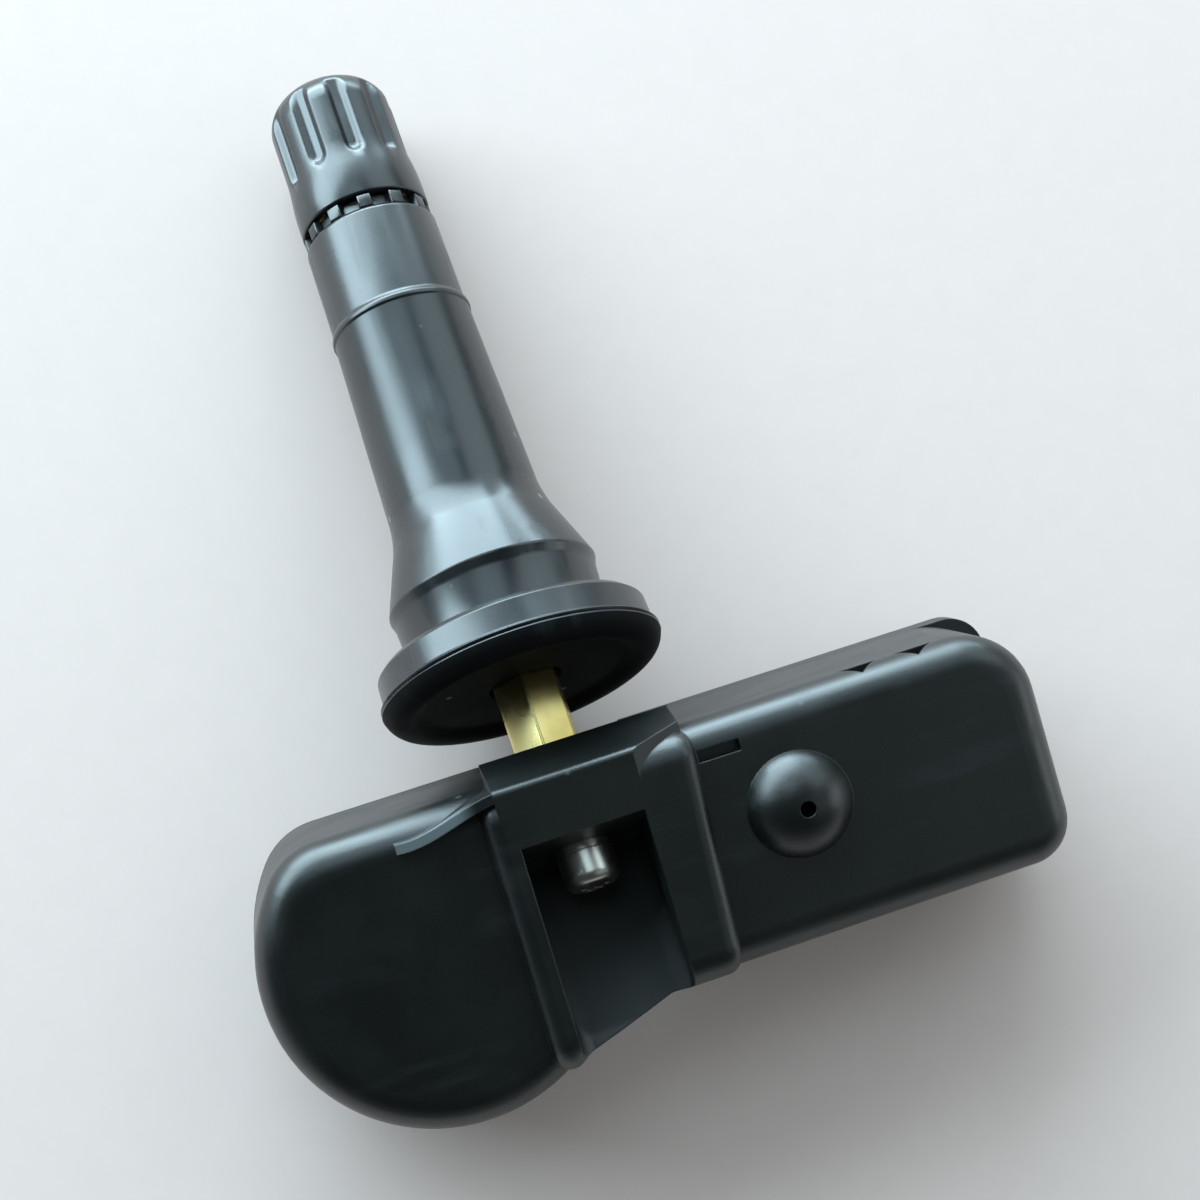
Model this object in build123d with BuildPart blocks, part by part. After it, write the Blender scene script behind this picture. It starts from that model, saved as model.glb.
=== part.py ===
from build123d import *

import os
from math import asin, atan2, cos, hypot, radians, sin, sqrt, tan

# Snap-in tyre pressure sensor, lying as it comes to rest: on the valve cap's tip and the
# housing's lower back edge. Millimetres, +Z up. x runs along the housing, y towards the cap.

# Housing outline, seen from its front: x along the body, y towards the valve, z out of the face
lobe_radius = 12.25
lobe_x = -11.2
lobe_drop = 9.45
lobe_top_round = 5.0
block_reach = 33.1
block_width = 17.05
block_top_round = 5.0
block_bottom_round = 3.2
bridge_slope = 17.5
bridge_inset = 0.8
bridge_round = 1.5
touch_round = 2.0
front_round = 2.4
back_round = 1.0
shell_depth = 10.5
cover_thickness = 1.5
cover_top_round = 2.6
pad_left = 6.0
side_wall = 1.6
front_wall = 1.8

# Hood over the valve's end, the screw pocket in it, and the ridge that runs out of it
hood_left = -6.2
hood_right = 8.9
hood_foot_right = 7.9
hood_height = 1.5
hood_round = 2.2
hood_edge = 1.2
lip_edge = 0.5
lip_reach = 1.4
lip_depth = 2.9
lip_inset = 1.1
lip_fade = 4.6
lip_end = 8.3
lip_end_reach = 0.55
lip_end_height = -0.25
pocket_half = 4.3
pocket_floor = 2.6
pocket_round = 1.2
pocket_wall = 1.1
clamp_wall = 1.6
boss_radius = 3.9
ridge_ends = ((-12.1, -1.8, 0.3), (-9.4, -1.55, 0.6), (-6.8, -0.75, 1.1))
ridge_start = -0.35
ridge_foot = 1.6
ridge_width = 0.7
ridge_round = 0.3
relief_length = 3.0
relief_width = 0.8
relief_y = -2.2
relief_depth = 0.7

# Pressure port dome and edge notches on the block
dome_x = 14.7
dome_y = -7.4
dome_radius = 3.7
dome_height = 2.3
port_radius = 0.55
socket_radius = 2.0
socket_depth = 0.6
notch_starts = (20.2, 24.3)
notch_width = 2.9
notch_back = 2.6
notch_front = 1.2
notch_depth = 0.6

# Valve rubber: heights run along the stem from the housing's top edge
stem_lean = 24.2
stem_sink = 5.5
shank_radius = 3.4
flange_bottom = 4.9
flange_dish = 5.6
dish_web = 0.8
dish_radius = 7.4
bead_radius = 9.0
flange_radius = 10.2
parting_height = 6.35
parting_depth = 0.18
parting_half = 0.15
band_radius = 9.95
band_bottom = 6.7
rim_radius = 9.75
rim_height = 8.5
seat_height = 8.95
seat_outer = 9.3
seat_inner = 7.9
seat_step = 0.2
groove_radius = 7.2
groove_top_radius = 7.4
groove_top = 12.15
shoulder_radius = 7.63
shoulder_height = 12.85
shoulder_round = 0.25
flare_radius = 5.56
flare_top = 18.4
flare_round = 7.0
stem_top_radius = 5.14
collar_bottom = 34.2
lip_radius = 5.26
lip_slope = 0.1
lip_length = 0.7
collar_radius = 5.02
collar_ease = 1.3
collar_top_radius = 4.96
collar_top = 42.3
collar_chamfer = 0.3
neck_radius = 4.15
tooth_radius = 4.8
tooth_width = 1.05
tooth_count = 12
cap_gap = 0.15

# Valve cap and its seal
cap_bottom = 43.45
cap_skirt_radius = 4.88
cap_skirt = 2.2
cap_ease = 2.0
cap_radius = 4.67
cap_top = 55.0
cap_round = 2.8
cap_roof = 1.2
flute_count = 10
flute_width = 1.6
flute_depth = 0.42
flute_bottom = 47.0
lead_in = 1.1
lead_in_depth = 0.3
seal_thickness = 0.8
seal_inset = 0.2

# Brass stem, with the post that enters the housing
post_flats = 4.4
post_turn = 20
post_end = -5.0
post_fit = 0.1
thread_radius = 3.87
thread_fit = 0.08
tip_chamfer = 0.45
core_thread_radius = 2.62
core_plug = 6.4
core_seat_height = 1.4
core_seat_radius = 2.2
chamber_radius = 2.05
chamber_depth = 17.0
air_radius = 1.2
air_bottom = 2.4
vent_radius = 0.8
vent_height = 3.2
tapped_end = 1.0

# Valve core
core_fit = 0.05
core_drop = 0.6
core_bar = 2.4
core_slot_depth = 1.4
core_bore = 1.15
barrel_radius = 1.85
barrel_depth = 12.0
barrel_floor = 1.0
barrel_hole = 0.95
spring_room = 1.45
pin_radius = 0.55
pin_drop = 0.4
pin_collar_radius = 1.3
pin_collar_drop = 6.55
pin_collar_height = 0.6
pin_stop = 0.05
plunger_radius = 1.5
plunger_height = 1.2
plunger_seal_height = 0.8
spring_wire = 0.32
spring_radius = 1.08
spring_turns = 5
spring_gap = 0.02

# Mounting screw and washer
screw_radius = 1.2
screw_fit = 0.05
screw_end = 0.6
screw_clear = 0.15
washer_radius = 1.85
washer_thickness = 0.6
head_radius = 1.95
head_height = 2.3
head_round = 0.7
drive_core = 0.72
drive_lobe = 0.27
drive_circle = 0.82
drive_lobes = 6
drive_depth = 1.1

# Board, cell and what they carry: depths run back from the housing's front face
board_thickness = 1.0
board_left = 6.3
board_edge = 0.4
board_corner = 2.8
standoff_radius = 1.1
standoff_inset = 3.0
cell_x = -12.0
cell_y = -10.2
cell_radius = 8.0
cell_thickness = 3.2
cell_cap_radius = 7.2
cell_step = 0.6
cell_gap = 0.05
rib_outer = 6.2
rib_inner = 5.0
rib_gap = 0.15
tab_thickness = 0.25
tab_width = 2.4
tab_start = 4.0
tab_minus_drop = 13.8
tab_minus_overlap = 1.6
tab_plus_drop = 9.5
tab_plus_overlap = 3.5
tab_rise = 1.8
sensor_size = 7.0
sensor_height = 2.2
sensor_inlet = 0.5
sensor_inlet_depth = 0.4
port_seal_radius = 1.9
port_seal_bore = 0.8
port_seal_gap = 0.1
chip_size = 5.0
chip_height = 1.0
chip_x = 19.0
chip_y = -8.5
coil_x = 22.8
coil_y = -4.6
coil_length = 8.0
coil_flange = 2.8
coil_flange_length = 1.2
coil_core = 1.5
coil_winding = 2.5
crystal_x = 22.6
crystal_y = -9.4
crystal_length = 3.2
crystal_width = 2.5
crystal_height = 0.8
capacitor_length = 0.8
capacitor_width = 1.6
capacitor_height = 0.8
capacitor_pitch = 1.7
capacitor_count = 4
capacitor_x = 21.0
capacitor_y = -12.9
antenna_x = 30.4
antenna_y = -8.6
antenna_span = 8.4
antenna_wire = 0.8
antenna_height = 3.2

# Rest attitude: the common tangent under the cap's rounded tip and the lobe's rounded heel
lean = radians(stem_lean)
lobe_depth = shell_depth + cover_thickness
cap_tip_y = (cap_top - cap_round) * cos(lean) - (cap_radius - cap_round) * sin(lean)
cap_tip_z = -stem_sink - (cap_top - cap_round) * sin(lean) - (cap_radius - cap_round) * cos(lean)
heel_y = back_round - lobe_drop - lobe_radius
heel_z = back_round - lobe_depth
reach_y = cap_tip_y - heel_y
reach_z = cap_tip_z - heel_z
tilt = asin((cap_round - back_round) / hypot(reach_y, reach_z)) - atan2(reach_z, reach_y)
dip = lean - tilt
block_depth = lobe_depth + (lobe_drop + lobe_radius - block_width) * tan(tilt)

# The row's origin lies on the floor under the middle of the bounding box
cap_front = stem_sink * sin(tilt) + (cap_top - cap_round) * cos(dip)
cap_front += (cap_radius - cap_round) * sin(dip) + cap_round
lobe_front = (front_round - lobe_drop - lobe_radius) * cos(tilt) + front_round * sin(tilt) - front_round
body_x = -(block_reach + lobe_x - lobe_radius) / 2
body_y = -(cap_front + lobe_front) / 2
body_z = back_round - heel_y * sin(tilt) - heel_z * cos(tilt)

# Planes: the housing's front face, its top, side and end sections, and the valve's planes
body_plane = Plane(origin=(body_x, body_y, body_z), x_dir=(1, 0, 0), z_dir=(0, -sin(tilt), cos(tilt)))
body_top = Plane(origin=body_plane.origin, x_dir=(1, 0, 0), z_dir=body_plane.y_dir)
body_side = Plane(origin=body_plane.origin, x_dir=(1, 0, 0), z_dir=-body_plane.y_dir)
body_end = Plane(origin=body_plane.origin, x_dir=body_plane.y_dir, z_dir=(1, 0, 0))
body_normal = Axis(body_plane.origin, body_plane.z_dir)
body_line = Axis(body_plane.origin, body_plane.y_dir)
dome_origin = body_plane.from_local_coords((dome_x, dome_y, 0))
dome_section = Plane(origin=dome_origin, x_dir=(1, 0, 0), z_dir=-body_plane.y_dir)
stem_origin = body_plane.from_local_coords((0, 0, -stem_sink))
stem_plane = Plane(origin=stem_origin, x_dir=(1, 0, 0), z_dir=(0, cos(dip), -sin(dip)))
stem_section = Plane(origin=stem_origin, x_dir=(1, 0, 0), z_dir=(0, sin(dip), cos(dip)))
stem_axis = Axis(stem_origin, stem_plane.z_dir)

# Heights along the valve and depths in the housing that several pieces share
neck_top = cap_bottom - cap_gap
web_top = flange_dish + dish_web
cap_ceiling = cap_top - cap_roof
cap_bore = thread_radius + thread_fit
stem_tip = cap_ceiling - seal_thickness
post_round = post_flats / sqrt(3)
seat_bottom = post_end - clamp_wall
head_top = seat_bottom - washer_thickness
head_bottom = head_top - head_height
core_top = stem_tip - core_drop
core_seat_top = stem_tip - core_plug
core_seat_bottom = core_seat_top - core_seat_height
chamber_bottom = stem_tip - chamber_depth
barrel_bottom = stem_tip - barrel_depth
core_radius = core_thread_radius - core_fit
spring_floor = barrel_bottom + barrel_floor
pin_top = stem_tip - pin_drop
pin_collar_top = stem_tip - pin_collar_drop
plunger_top = barrel_bottom - plunger_seal_height
dome_sphere = (dome_radius**2 + dome_height**2) / (2 * dome_height)
board_front = shell_depth - cell_gap - tab_thickness - cell_thickness
board_back = board_front + board_thickness
board_right = block_reach - side_wall - board_edge
board_top = -side_wall - board_edge
board_bottom = side_wall + board_edge - block_width
cell_back = board_front + cell_thickness
far = 3 * block_reach


# Housing outline on a plane: a round lobe, a straight bridge and a block, inset if asked
def outline_face(plane, inset=0.0, top_round=block_top_round):
    slope = radians(bridge_slope)
    left = lobe_x - sqrt(lobe_radius**2 - lobe_drop**2)
    bridge_distance = lobe_radius - bridge_inset
    bridge_chord = sqrt(lobe_radius**2 - bridge_distance**2)
    touch_x = lobe_x + bridge_distance * sin(slope) + bridge_chord * cos(slope)
    touch_y = -lobe_drop - bridge_distance * cos(slope) + bridge_chord * sin(slope)
    bridge_x = touch_x - (block_width + touch_y) / tan(slope)
    corners = (
        ((left, 0), lobe_top_round),
        ((block_reach, 0), top_round),
        ((block_reach, -block_width), block_bottom_round),
        ((bridge_x, -block_width), bridge_round),
        ((touch_x, touch_y), touch_round),
    )
    with BuildSketch(plane) as outline:
        with BuildLine():
            Polyline(*[point for point, radius in corners])
            ThreePointArc((touch_x, touch_y), (lobe_x - lobe_radius, -lobe_drop), (left, 0))
        make_face()
        for point, radius in corners:
            fillet(outline.vertices().sort_by_distance(point)[0], radius)
        if inset:
            offset(amount=-inset)
    return outline.sketch


# Solid of revolution about the valve's axis, from points of radius and height
def turned(points):
    with BuildPart() as piece:
        with BuildSketch(stem_section):
            with BuildLine():
                Polyline(*points, close=True)
            make_face()
        revolve(axis=stem_axis)
    return piece


# Section of the hood's lip, from its crest down to its foot
def lip_section(crest_reach, crest_height):
    with BuildSketch() as section:
        with BuildLine():
            Polyline(
                (crest_reach, crest_height),
                (lip_reach, -lip_depth),
                (-front_round, -lip_depth),
                (-front_round, crest_height),
                close=True,
            )
        make_face()
    return section.sketch


# Flat rectangular component standing on the board's front
def chip_on_board(x, y, length, width, height):
    with BuildPart() as piece:
        with BuildSketch(body_plane.offset(-board_front)):
            with Locations((x, y)):
                Rectangle(length, width)
        extrude(amount=height)
    return piece


shell_face = outline_face(body_plane.offset(-shell_depth))
room_face = outline_face(body_plane.offset(-shell_depth), inset=side_wall)
hood_face = outline_face(body_plane.offset(-front_round))
cover_face = outline_face(body_plane.offset(-lobe_depth), top_round=cover_top_round)
pad_face = outline_face(body_plane.offset(-block_depth), top_round=cover_top_round)

# Hood: a flat saddle on the front face, with a sloping lip in front of the brass post
with BuildPart() as hood:
    extrude(hood_face, amount=front_round + hood_height)
    fillet(hood.faces().sort_by(body_normal)[-1].edges(), hood_round)
    with BuildSketch(body_plane.offset(-front_round)):
        with BuildLine():
            Polyline(
                (hood_left, 0),
                (hood_right, 0),
                (hood_foot_right, -block_width),
                (hood_foot_right, -far),
                (hood_left, -far),
                close=True,
            )
        make_face()
    extrude(amount=front_round + hood_height, mode=Mode.INTERSECT)
    fillet(hood.faces().sort_by(body_normal)[-1].edges().sort_by(Axis.X)[0], hood_edge)
    fillet(hood.faces().sort_by(body_normal)[-1].edges().sort_by(Axis.X)[-1], hood_edge)
    with BuildSketch(body_end.offset(hood_left + lip_inset)):
        add(lip_section(0, hood_height))
    extrude(amount=lip_fade - hood_left - lip_inset)
    with BuildSketch(body_end.offset(lip_fade)):
        add(lip_section(0, hood_height))
    with BuildSketch(body_end.offset(lip_end)):
        add(lip_section(lip_end_reach, lip_end_height))
    loft()
    fillet(hood.faces().sort_by(body_normal)[-1].edges().sort_by(body_line)[-1], lip_edge)

# Room inside the shell: the inset outline, less the walls, ribs and posts that stand in it
with BuildPart() as room:
    extrude(room_face, amount=shell_depth - front_wall)
    with BuildSketch(stem_plane.offset(post_end)):
        with Locations((0, pocket_floor + pocket_wall - far / 2)):
            Rectangle(2 * (pocket_half + pocket_wall), far)
    extrude(amount=-far, mode=Mode.SUBTRACT)
    with BuildSketch(stem_plane.offset(seat_bottom)):
        Circle(boss_radius)
    extrude(amount=far, mode=Mode.SUBTRACT)
    with BuildSketch(body_plane.offset(rib_gap + tab_thickness - board_front)):
        with Locations((cell_x, cell_y)):
            Circle(rib_outer)
            Circle(rib_inner, mode=Mode.SUBTRACT)
    extrude(amount=board_front, mode=Mode.SUBTRACT)
    with BuildSketch(body_plane.offset(-board_front)):
        with Locations(((board_left + board_right) / 2, (board_top + board_bottom) / 2)):
            with GridLocations(
                board_right - board_left - 2 * standoff_inset,
                board_top - board_bottom - 2 * standoff_inset,
                2,
                2,
            ):
                Circle(standoff_radius)
    extrude(amount=board_front, mode=Mode.SUBTRACT)

# Front shell, with the hood, screw pocket, valve socket, pressure port and edge notches
with BuildPart() as housing:
    extrude(shell_face, amount=shell_depth)
    fillet(housing.faces().sort_by(body_normal)[-1].edges(), front_round)
    for x, y, height in (*ridge_ends, (hood_left + lip_inset, ridge_start, hood_height)):
        with BuildSketch(body_end.offset(x)) as ridge_section:
            with Locations((y, (height - ridge_foot) / 2)):
                Rectangle(ridge_width, height + ridge_foot)
            fillet(ridge_section.vertices().group_by(body_normal)[-1], ridge_round)
    loft()
    add(hood.part)
    with BuildSketch(dome_section):
        with BuildLine():
            Polyline((0, dome_height), (0, -front_wall), (dome_radius, -front_wall), (dome_radius, 0))
            RadiusArc((dome_radius, 0), (0, dome_height), -dome_sphere)
        make_face()
    revolve(axis=Axis(dome_origin, body_plane.z_dir))
    add(room.part, mode=Mode.SUBTRACT)
    with BuildSketch(body_plane.offset(-front_wall)):
        with Locations((dome_x, dome_y)):
            Circle(socket_radius)
    extrude(amount=front_wall + socket_depth, mode=Mode.SUBTRACT)
    with BuildSketch(body_plane):
        with Locations((dome_x, dome_y)):
            Circle(port_radius)
    extrude(amount=dome_height, mode=Mode.SUBTRACT)
    with BuildSketch(stem_plane.offset(seat_bottom)) as pocket:
        with Locations((0, pocket_floor - far / 2)):
            Rectangle(2 * pocket_half, far)
        fillet(pocket.vertices().group_by(Axis.Y)[-1], pocket_round)
    extrude(amount=-far, mode=Mode.SUBTRACT)
    with BuildSketch(stem_plane.offset(post_end)):
        Circle(post_round + post_fit)
    extrude(amount=far, mode=Mode.SUBTRACT)
    with BuildSketch(stem_plane.offset(seat_bottom)):
        Circle(screw_radius + screw_clear)
    extrude(amount=clamp_wall, mode=Mode.SUBTRACT)
    with BuildSketch(body_top):
        for start in notch_starts:
            with BuildLine():
                Polyline(
                    (start, notch_back),
                    (start + notch_width, notch_back),
                    (start + notch_width / 2, notch_front),
                    close=True,
                )
            make_face()
    extrude(amount=-notch_depth, mode=Mode.SUBTRACT)
    with BuildSketch(body_plane):
        with Locations((hood_right + relief_length / 2, relief_y)):
            Rectangle(relief_length, relief_width)
    extrude(amount=-relief_depth, mode=Mode.SUBTRACT)

# Back cover: a plate over the whole outline, with a deeper pad behind the block
with BuildPart() as cover_pad:
    extrude(pad_face, amount=block_depth - shell_depth)
    split(bisect_by=body_end.offset(pad_left), keep=Keep.TOP)
    fillet(cover_pad.faces().sort_by(body_normal)[0].edges(), back_round)

with BuildPart() as back_cover:
    extrude(cover_face, amount=lobe_depth - shell_depth)
    fillet(back_cover.faces().sort_by(body_normal)[0].edges(), back_round)
    add(cover_pad.part)

# Rubber of the snap-in valve, moulded over the brass stem
rubber_rounds = (
    ((shoulder_radius, shoulder_height), shoulder_round),
    ((flare_radius, flare_top), flare_round),
)
with BuildPart() as valve_rubber:
    with BuildSketch(stem_section) as rubber_profile:
        with BuildLine():
            Polyline(
                (shank_radius, neck_top),
                (shank_radius, web_top),
                (post_round + post_fit, web_top),
                (post_round + post_fit, flange_dish),
                (dish_radius, flange_dish),
            )
            ThreePointArc(
                (dish_radius, flange_dish),
                (bead_radius, flange_bottom),
                (flange_radius, parting_height - parting_half),
            )
            Polyline(
                (flange_radius, parting_height - parting_half),
                (flange_radius - parting_depth, parting_height),
                (flange_radius, parting_height + parting_half),
                (band_radius, band_bottom),
                (rim_radius, rim_height),
                (seat_outer, seat_height),
                (seat_inner, seat_height),
                (seat_inner, seat_height - seat_step),
                (groove_radius, seat_height - seat_step),
                (groove_top_radius, groove_top),
                (shoulder_radius, shoulder_height),
                (flare_radius, flare_top),
                (stem_top_radius, collar_bottom),
                (lip_radius, collar_bottom + lip_slope),
                (lip_radius, collar_bottom + lip_length),
                (collar_radius, collar_bottom + lip_length + collar_ease),
                (collar_top_radius, collar_top - collar_chamfer),
                (collar_top_radius - collar_chamfer, collar_top),
                (neck_radius, collar_top),
                (neck_radius, neck_top),
                (shank_radius, neck_top),
            )
        make_face()
        for corner, radius in rubber_rounds:
            fillet(rubber_profile.vertices().sort_by_distance(corner)[0], radius)
    revolve(axis=stem_axis)
    with BuildSketch(stem_plane.offset(collar_top)):
        with PolarLocations((shank_radius + tooth_radius) / 2, tooth_count):
            Rectangle(tooth_radius - shank_radius, tooth_width)
        Circle((shank_radius + neck_radius) / 2, mode=Mode.SUBTRACT)
    extrude(amount=neck_top - collar_top)

# Brass stem: hexagonal post, plain shank, threaded tip, bored for the core and for air
with BuildPart() as valve_stem:
    with BuildSketch(stem_section):
        with BuildLine():
            Polyline(
                (0, web_top),
                (shank_radius, web_top),
                (shank_radius, neck_top),
                (thread_radius, neck_top),
                (thread_radius, stem_tip - tip_chamfer),
                (thread_radius - tip_chamfer, stem_tip),
                (0, stem_tip),
                close=True,
            )
        make_face()
    revolve(axis=stem_axis)
    with BuildSketch(stem_plane.offset(post_end)):
        RegularPolygon(post_flats / 2, 6, major_radius=False, rotation=post_turn)
    extrude(amount=web_top - post_end)
    with BuildSketch(stem_section):
        with BuildLine():
            Polyline(
                (0, stem_tip),
                (core_thread_radius, stem_tip),
                (core_thread_radius, core_seat_top),
                (core_seat_radius, core_seat_bottom),
                (chamber_radius, core_seat_bottom),
                (chamber_radius, chamber_bottom),
                (air_radius, chamber_bottom),
                (air_radius, air_bottom),
                (0, air_bottom),
                close=True,
            )
        make_face()
    revolve(axis=stem_axis, mode=Mode.SUBTRACT)
    with BuildSketch(stem_plane.offset(post_end)):
        Circle(screw_radius + screw_fit)
    extrude(amount=tapped_end - post_end, mode=Mode.SUBTRACT)
    with BuildSketch(stem_section):
        with Locations((0, vent_height)):
            Circle(vent_radius)
    extrude(amount=-post_flats, mode=Mode.SUBTRACT)

# Valve cap, fluted on the outside
with BuildPart() as valve_cap:
    with BuildSketch(stem_section):
        with BuildLine():
            Polyline(
                (0, cap_top),
                (0, cap_ceiling),
                (cap_bore, cap_ceiling),
                (cap_bore, cap_bottom + lead_in),
                (cap_bore + lead_in_depth, cap_bottom + lead_in),
                (cap_bore + lead_in_depth, cap_bottom),
                (cap_skirt_radius, cap_bottom),
                (cap_skirt_radius, cap_bottom + cap_skirt),
                (cap_radius, cap_bottom + cap_skirt + cap_ease),
                (cap_radius, cap_top - cap_round),
            )
            CenterArc((cap_radius - cap_round, cap_top - cap_round), cap_round, 0, 90)
            Line((cap_radius - cap_round, cap_top), (0, cap_top))
        make_face()
    revolve(axis=stem_axis)
    for index in range(flute_count):
        turn = (index + 0.5) * 360 / flute_count
        flute_plane = stem_section.moved(Rotation(0, turn, 0)).offset(cap_radius - flute_depth)
        with BuildSketch(flute_plane):
            with Locations((0, (flute_bottom + cap_top) / 2)):
                SlotOverall(cap_top - flute_bottom, flute_width, rotation=90)
        extrude(amount=cap_round, mode=Mode.SUBTRACT)

with BuildPart() as cap_seal:
    with BuildSketch(stem_plane.offset(stem_tip)):
        Circle(cap_bore - seal_inset)
    extrude(amount=seal_thickness)

# Valve core: threaded plug with its barrel, sealing ring, pin, plunger seal and spring
core_turning = turned(
    [
        (core_bore, core_top),
        (core_radius, core_top),
        (core_radius, core_seat_top),
        (barrel_radius, core_seat_top),
        (barrel_radius, barrel_bottom),
        (barrel_hole, barrel_bottom),
        (barrel_hole, spring_floor),
        (spring_room, spring_floor),
        (spring_room, pin_collar_top + pin_stop),
        (core_bore, pin_collar_top + pin_stop),
    ]
)
with BuildPart() as core_body:
    add(core_turning.part)
    with BuildSketch(stem_plane.offset(core_top)):
        Circle(core_thread_radius)
        Rectangle(far, core_bar, mode=Mode.SUBTRACT)
    extrude(amount=-core_slot_depth, mode=Mode.SUBTRACT)

core_gasket = turned(
    [
        (barrel_radius, core_seat_bottom),
        (core_seat_radius - core_fit, core_seat_bottom),
        (core_radius, core_seat_top),
        (barrel_radius, core_seat_top),
    ]
)
core_pin = turned(
    [
        (0, pin_top),
        (pin_radius, pin_top),
        (pin_radius, pin_collar_top),
        (pin_collar_radius, pin_collar_top),
        (pin_collar_radius, pin_collar_top - pin_collar_height),
        (pin_radius, pin_collar_top - pin_collar_height),
        (pin_radius, plunger_top),
        (plunger_radius, plunger_top),
        (plunger_radius, plunger_top - plunger_height),
        (0, plunger_top - plunger_height),
    ]
)
plunger_seal = turned(
    [
        (pin_radius, plunger_top),
        (plunger_radius, plunger_top),
        (plunger_radius, barrel_bottom),
        (pin_radius, barrel_bottom),
    ]
)

spring_foot = spring_floor + spring_wire / 2 + spring_gap
spring_head = pin_collar_top - pin_collar_height - spring_wire / 2 - spring_gap
with BuildPart() as core_spring:
    with BuildLine() as coil:
        Helix(
            (spring_head - spring_foot) / spring_turns,
            spring_head - spring_foot,
            spring_radius,
            center=stem_plane.from_local_coords((0, 0, spring_foot)),
            direction=stem_plane.z_dir,
        )
    with BuildSketch(Plane(origin=coil.line @ 0, z_dir=coil.line % 0)):
        Circle(spring_wire / 2)
    sweep()

# Six-lobe screw that clamps the housing to the post, and its washer
with BuildPart() as mounting_screw:
    with BuildSketch(stem_section):
        with BuildLine():
            Line((0, head_bottom), (head_radius - head_round, head_bottom))
            CenterArc((head_radius - head_round, head_bottom + head_round), head_round, 270, 90)
            Polyline(
                (head_radius, head_bottom + head_round),
                (head_radius, head_top),
                (screw_radius, head_top),
                (screw_radius, screw_end),
                (0, screw_end),
                (0, head_bottom),
            )
        make_face()
    revolve(axis=stem_axis)
    with BuildSketch(stem_plane.offset(head_bottom)):
        Circle(drive_core)
        with PolarLocations(drive_circle, drive_lobes):
            Circle(drive_lobe)
    extrude(amount=drive_depth, mode=Mode.SUBTRACT)

with BuildPart() as screw_washer:
    with BuildSketch(stem_plane.offset(head_top)):
        Circle(washer_radius)
        Circle(screw_radius + screw_clear, mode=Mode.SUBTRACT)
    extrude(amount=washer_thickness)

# Board in the block, on the shell's posts
with BuildPart() as circuit_board:
    with BuildSketch(body_plane.offset(-board_back)) as board_face:
        with Locations(((board_left + board_right) / 2, (board_top + board_bottom) / 2)):
            Rectangle(board_right - board_left, board_top - board_bottom)
        fillet(board_face.vertices().group_by(Axis.X)[-1], board_corner)
    extrude(amount=board_thickness)

# Coin cell in the lobe, with its two welded tabs to the board
with BuildPart() as battery_cell:
    with BuildSketch(body_plane.offset(-cell_back)):
        with Locations((cell_x, cell_y)):
            Circle(cell_radius)
    extrude(amount=cell_thickness - cell_step)
    with BuildSketch(body_plane.offset(-board_front)):
        with Locations((cell_x, cell_y)):
            Circle(cell_cap_radius)
    extrude(amount=-cell_step)

with BuildPart() as battery_tab_minus:
    with BuildSketch(body_side.offset(tab_minus_drop - tab_width / 2)):
        with BuildLine():
            Polyline(
                (cell_x - tab_start, -board_front),
                (board_left + tab_minus_overlap, -board_front),
                (board_left + tab_minus_overlap, tab_thickness - board_front),
                (cell_x - tab_start, tab_thickness - board_front),
                close=True,
            )
        make_face()
    extrude(amount=tab_width)

with BuildPart() as battery_tab_plus:
    with BuildSketch(body_side.offset(tab_plus_drop - tab_width / 2)):
        with BuildLine():
            Polyline(
                (cell_x - tab_start, -cell_back),
                (board_left - tab_rise, -cell_back),
                (board_left, -board_back),
                (board_left + tab_plus_overlap, -board_back),
                (board_left + tab_plus_overlap, -board_back - tab_thickness),
                (board_left, -board_back - tab_thickness),
                (board_left - tab_rise, -cell_back - tab_thickness),
                (cell_x - tab_start, -cell_back - tab_thickness),
                close=True,
            )
        make_face()
    extrude(amount=tab_width)

# Parts on the board
sensor_block = chip_on_board(dome_x, dome_y, sensor_size, sensor_size, sensor_height)
with BuildPart() as pressure_sensor:
    add(sensor_block.part)
    with BuildSketch(body_plane.offset(sensor_height - board_front)):
        with Locations((dome_x, dome_y)):
            Circle(sensor_inlet)
    extrude(amount=-sensor_inlet_depth, mode=Mode.SUBTRACT)

with BuildPart() as port_seal:
    with BuildSketch(body_plane.offset(sensor_height - board_front)):
        with Locations((dome_x, dome_y)):
            Circle(port_seal_radius)
            Circle(port_seal_bore, mode=Mode.SUBTRACT)
    extrude(amount=board_front - sensor_height + socket_depth - port_seal_gap)

timing_crystal = chip_on_board(crystal_x, crystal_y, crystal_length, crystal_width, crystal_height)

with BuildPart() as controller_chip:
    with BuildSketch(body_plane.offset(-board_back)):
        with Locations((chip_x, chip_y)):
            Rectangle(chip_size, chip_size)
    extrude(amount=-chip_height)

with BuildPart() as chip_capacitors:
    with BuildSketch(body_plane.offset(-board_front)):
        with Locations((capacitor_x, capacitor_y)):
            with GridLocations(capacitor_pitch, capacitor_pitch, capacitor_count, 1):
                Rectangle(capacitor_length, capacitor_width)
    extrude(amount=capacitor_height)

with BuildPart() as coil_ferrite:
    with BuildSketch(body_plane.offset(-board_front)):
        with Locations((coil_x, coil_y)):
            with GridLocations(coil_length - coil_flange_length, coil_flange, 2, 1):
                Rectangle(coil_flange_length, coil_flange)
    extrude(amount=coil_flange)
    with BuildSketch(body_plane.offset((coil_flange - coil_core) / 2 - board_front)):
        with Locations((coil_x, coil_y)):
            Rectangle(coil_length - coil_flange_length, coil_core)
    extrude(amount=coil_core)

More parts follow.
